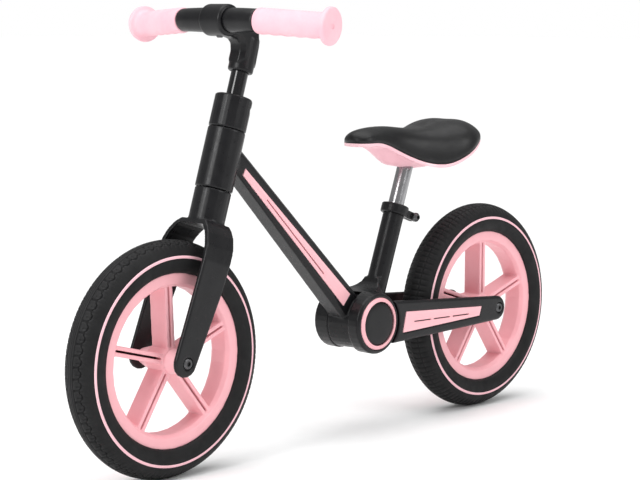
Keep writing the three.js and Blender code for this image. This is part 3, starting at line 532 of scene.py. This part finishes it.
def sleeve(side, sign):
    """The moulded sleeve between the stem and a grip."""
    stations = [(sign * 20.0, constant(14.2)), (sign * 20.4, constant(15.2)), (sign * 21.0, constant(15.5))]
    for y in np.arange(24, 65, 2.0):
        stations.append((sign * y, constant(15.5 - 0.7 * smoothstep(y, 24, 64))))
    stations += [(sign * 66.0, constant(14.7)), (sign * 66.5, constant(14.0))]
    obj = along_bar(f"bar_sleeve_{side}_moulding", stations)
    return dress(obj, BLACK_PLASTIC, "bars", "black_plastic", f"bar_sleeve_{side}")


for side, sign in (("left", 1), ("right", -1)):
    grip(side, sign)
    sleeve(side, sign)

# ---- Posts ----

def post(name, radius, low, high, base, lean, material, body, slot, source):
    """A tube with rounded ends, from low to high along an axis that leans back from its base."""
    profile = [(radius - 1.8, low + 1), (radius - 1.0, low), (radius - 0.4, low + 0.2), (radius, low + 0.8)]
    profile += [(radius, low + 0.8 + (high - low - 1.6) * i / 8) for i in range(1, 9)]
    profile += [(radius - 0.4, high - 0.2), (radius - 1.0, high), (radius - 1.8, high - 1)]
    profile += [(radius - 1.9, high - 2), (radius - 1.9, low + 2)]
    rows = []
    for r, y in profile:
        rows.append([(r * math.cos(t), r * math.sin(t), y)
                     for t in np.linspace(0, 2 * math.pi, 96, endpoint=False)])
    obj = outward(skin(name, rows, wrap_rows=True))
    moved(obj, base, Matrix.Rotation(-lean, 4, "Y"))
    return dress(obj, material, body, slot, source)


post("seat_post_tube", POST_RADIUS, SEAT_POST_FOOT, SEAT_POST_TOP, SEAT_BASE, SEAT_LEAN, STEEL, "saddle",
     "bare_steel", "seat_post")
post("bar_post_tube", POST_RADIUS, BAR_POST_FOOT, BAR_POST_TOP, HEAD_BASE, HEAD_LEAN, GLOSS_BLACK, "bars",
     "black_gloss_steel", "bar_post")

# ---- Saddle ----

def saddle_half_width(x):
    """Half the width of the outline at x: a narrow nose that spreads to the seat, with round ends."""
    share = (SADDLE_NOSE - x) / (SADDLE_NOSE - SADDLE_TAIL)
    spread = smoothstep(share, 0.26, 0.8)
    tail = max((share - 0.7) / 0.3, 0.0)
    tip = max((0.1 - share) / 0.1, 0.0)
    ends = math.sqrt(max(1 - tail ** 2.1, 0.0)) * math.sqrt(max(1 - tip ** 2.2, 0.0))
    return (SADDLE_NOSE_HALF_WIDTH + (SADDLE_HALF_WIDTH - SADDLE_NOSE_HALF_WIDTH) * spread) * ends


def saddle_seam(x, side):
    """The height of the seam between pad and shell. Side runs from -1 to 1 across the outline."""
    low = 34 * smoothstep(-x, 60, 170)
    lift = 34 * smoothstep(-x, 172, 262)
    return SADDLE_SEAM_Z + (lift - low) * (0.35 + 0.65 * side * side)


def saddle_top(x, side):
    """The height of the pad's top: a dip before the seat, a rise behind it and a shallow channel."""
    dip = 6 * math.exp(-(((x + 152) / 40) ** 2))
    rise = 9 * smoothstep(-x, 172, 238)
    tail = 12 * smoothstep(-x, 242, 286)
    dish = 2.5 * smoothstep(-x, 150, 230) * math.exp(-((side / 0.3) ** 2))
    return SADDLE_TOP_Z - dip + rise - tail - 7 * side * side - dish


def saddle_underside(x, side):
    """The height of the shell's underside, with the bulge that takes the post."""
    bulge = smoothstep(-x, 60, 108) * (1 - smoothstep(-x, 170, 240))
    return saddle_seam(x, side) - 6 - 23 * bulge * (1 - side * side) ** 2


def saddle_form(name, upper, lower, edge, up_fullness, low_fullness, rings=48, segments=160):
    """A ball drawn out to the saddle's outline, with its upper and lower halves shaped by two functions."""
    middle = (SADDLE_NOSE + SADDLE_TAIL) / 2
    half = (SADDLE_NOSE - SADDLE_TAIL) / 2
    rows = []
    for i in range(rings + 1):
        polar = math.pi * min(max(i / rings, 0.004), 0.996)
        w, radius = math.cos(polar), math.sin(polar)
        spread = radius ** 0.6
        row = []
        for t in np.linspace(0, 2 * math.pi, segments, endpoint=False):
            u, v = math.cos(t) * spread, math.sin(t) * spread
            x = middle + half * u
            side = min(max(v / math.sqrt(max(1 - u * u, 1e-9)), -1), 1)
            rim = saddle_seam(x, side) + edge
            face = upper(x, side) if w > 0 else lower(x, side)
            power = up_fullness(x) if w > 0 else low_fullness
            row.append((x, side * saddle_half_width(x), rim + (face - rim) * abs(w) ** power))
        rows.append(row)
    return outward(skin(name, rows))


def pad_fullness(x):
    """The nose is plump, and the thighs' sides slope more."""
    return 0.5 + 0.22 * smoothstep(-x, 70, 150)


pad = saddle_form("saddle_pad_cover", saddle_top, lambda x, s: saddle_seam(x, s) + 0.3, 0.3, pad_fullness,
                  1.0)
dress(pad, LEATHER, "saddle", "saddle_cover", "saddle_pad")


def saddle_shell():
    """The underside of the saddle with the round boss that its post goes into."""
    obj = saddle_form("saddle_shell_moulding", lambda x, s: saddle_seam(x, s) - 0.2, saddle_underside, -0.2,
                      lambda x: 1.0, 0.14)
    low, high = SEAT_POST_TOP - 10.5, SEAT_POST_TOP + 5.5
    boss = turned("boss", [(12.0, low), (14.6, low + 0.2), (16.2, low + 1.2), (17, low + 3), (17, high - 1),
                           (12, high)])
    boss.data.transform(Matrix.Rotation(math.radians(90), 4, "X"))
    moved(boss, SEAT_BASE, Matrix.Rotation(-SEAT_LEAN, 4, "Y"))
    join = obj.modifiers.new("join", "BOOLEAN")
    join.operation = "UNION"
    join.object = boss
    join.solver = "EXACT"
    bpy.context.view_layer.update()
    mesh = bpy.data.meshes.new_from_object(obj.evaluated_get(bpy.context.evaluated_depsgraph_get()))
    obj.modifiers.clear()
    obj.data = mesh
    mesh.shade_smooth()
    mesh.set_sharp_from_angle(angle=math.radians(50))
    bpy.data.objects.remove(boss)
    return dress(obj, PALE, "saddle", "pale_pink_plastic", "saddle_base")


saddle_shell()

# ---- Hub ring and lock cap ----

ring_profile = [(RING_INNER, RING_FOOT), (RING_INNER, 47.4), (30.5, 48.0), (31.0, 48.15), (31.8, 47.8),
                (33.4, 46.9), (35.0, 46.1), (35.6, 45.6), (RING_OUTER, RING_FOOT)]
ring = turned("hub_ring_moulding", ring_profile, 128, hollow=True)
moved(ring, HUB)
dress(ring, PINK, "rear_frame", "pink_plastic", "hub_ring")

button_profile = [(0.3, CAP_FOOT), (3, CAP_FOOT), (6, CAP_FOOT), (6.2, CAP_BACK), (16, CAP_BACK),
                  (28.6, CAP_BACK), (29.1, 41.6), (CAP_RADIUS, 45.0), (29.0, 45.7), (28.1, 46.2), (26, 46.6),
                  (20, 46.7), (12, CAP_FACE), (5, CAP_FACE), (0.3, CAP_FACE)]
button = turned("lock_button_moulding", button_profile, 128)
moved(button, HUB)
dress(button, BLACK_PLASTIC, "lock_button", "black_plastic", "lock_button")

# ---- Parts shown as the CAD has them ----

for part in ("down_tube_insert", "rear_arm_insert"):
    for side in ("left", "right"):
        kept(f"{part}_{side}", PINK, 0.3)
for part in ("front_axle_bolt", "rear_axle_bolt"):
    for side in ("left", "right"):
        kept(f"{part}_{side}", DARK_STEEL)
for part in ("stem_bolt", "top_collar_bolt", "seat_clamp_bolt"):
    kept(part, DARK_STEEL)
for end in ("front", "rear"):
    kept(f"{end}_axle", STEEL, 0)
    for side in ("left", "right"):
        kept(f"{end}_bearing_{side}", STEEL, 0.3)
        kept(f"{end}_spacer_{side}", PINK, 0.3)
for part in ("headset_bearing_lower", "headset_bearing_upper", "hub_pivot_pin", "lock_spring"):
    kept(part, STEEL, 0)
for part in ("hub_bush_left", "hub_bush_right"):
    kept(part, BRONZE, 0)
kept("handlebar", GLOSS_BLACK, 0)
kept("hub_far_cover", BLACK_PLASTIC, 0.5)

# ---- Camera, floor and light ----

def look(obj, place, target, roll=0.0):
    obj.location = place
    aim = Vector(target) - Vector(place)
    obj.rotation_mode = "QUATERNION"
    obj.rotation_quaternion = aim.to_track_quat("-Z", "Y") @ Quaternion((0, 0, 1), math.radians(roll))


CAMERA_PLACE = (1.8214, 1.6980, 0.5816)
CAMERA_TARGET = (0.026, 0.0, 0.2749)
CAMERA_ROLL = 0.19
LIGHT_TARGET = (0, 0, 0.3)
FLOOR_HALF = 30

camera_data = bpy.data.cameras.new("camera")
camera_data.lens = 104.3
camera_data.clip_end = 50
camera = bpy.data.objects.new("camera", camera_data)
SCENE.collection.objects.link(camera)
look(camera, CAMERA_PLACE, CAMERA_TARGET, CAMERA_ROLL)
SCENE.camera = camera

floor_mesh = bpy.data.meshes.new("floor")
floor_mesh.from_pydata([(FLOOR_HALF * i, FLOOR_HALF * j, 0) for i, j in ((-1, -1), (1, -1), (1, 1), (-1, 1))],
                       [], [(0, 1, 2, 3)])
floor = bpy.data.objects.new("floor", floor_mesh)
SCENE.collection.objects.link(floor)
floor_mesh.materials.append(finish("pale_floor", (0.9, 0.9, 0.9), (0.92, 0.92, 0.92), (0.7, 0.8), 60, 0.0001))


def softbox(name, place, target, width, height, power):
    data = bpy.data.lights.new(name, "AREA")
    data.shape = "RECTANGLE"
    data.size, data.size_y, data.energy = width, height, power
    lamp = bpy.data.objects.new(name, data)
    SCENE.collection.objects.link(lamp)
    look(lamp, place, target)


def sky_lamp(name, spread, strength):
    """A broad lamp straight above, far enough away to light the whole floor evenly."""
    data = bpy.data.lights.new(name, "SUN")
    data.angle, data.energy = math.radians(spread), strength
    lamp = bpy.data.objects.new(name, data)
    SCENE.collection.objects.link(lamp)


softbox("key_light", (2.2, 0.1, 1.4), LIGHT_TARGET, 0.7, 1.2, 27)
softbox("fill_light", (-0.6, 2.3, 1.5), LIGHT_TARGET, 1.4, 1.0, 20)
sky_lamp("sky_light", 70, 2.35)


def studio_world():
    """Soft light from all round, in front of a white background."""
    world = bpy.data.worlds.new("studio")
    world.use_nodes = True
    tree = world.node_tree
    surround = tree.nodes["Background"]
    surround.inputs["Color"].default_value = (1, 1, 1, 1)
    surround.inputs["Strength"].default_value = 0.42
    backdrop = node(tree, "ShaderNodeBackground")
    backdrop.inputs["Color"].default_value = (1, 1, 1, 1)
    backdrop.inputs["Strength"].default_value = 1.0
    choice = node(tree, "ShaderNodeMixShader")
    tree.links.new(node(tree, "ShaderNodeLightPath").outputs["Is Camera Ray"], choice.inputs["Fac"])
    tree.links.new(surround.outputs["Background"], choice.inputs[1])
    tree.links.new(backdrop.outputs["Background"], choice.inputs[2])
    tree.links.new(choice.outputs["Shader"], tree.nodes["World Output"].inputs["Surface"])
    return world


SCENE.world = studio_world()
SCENE.view_settings.view_transform = "Standard"
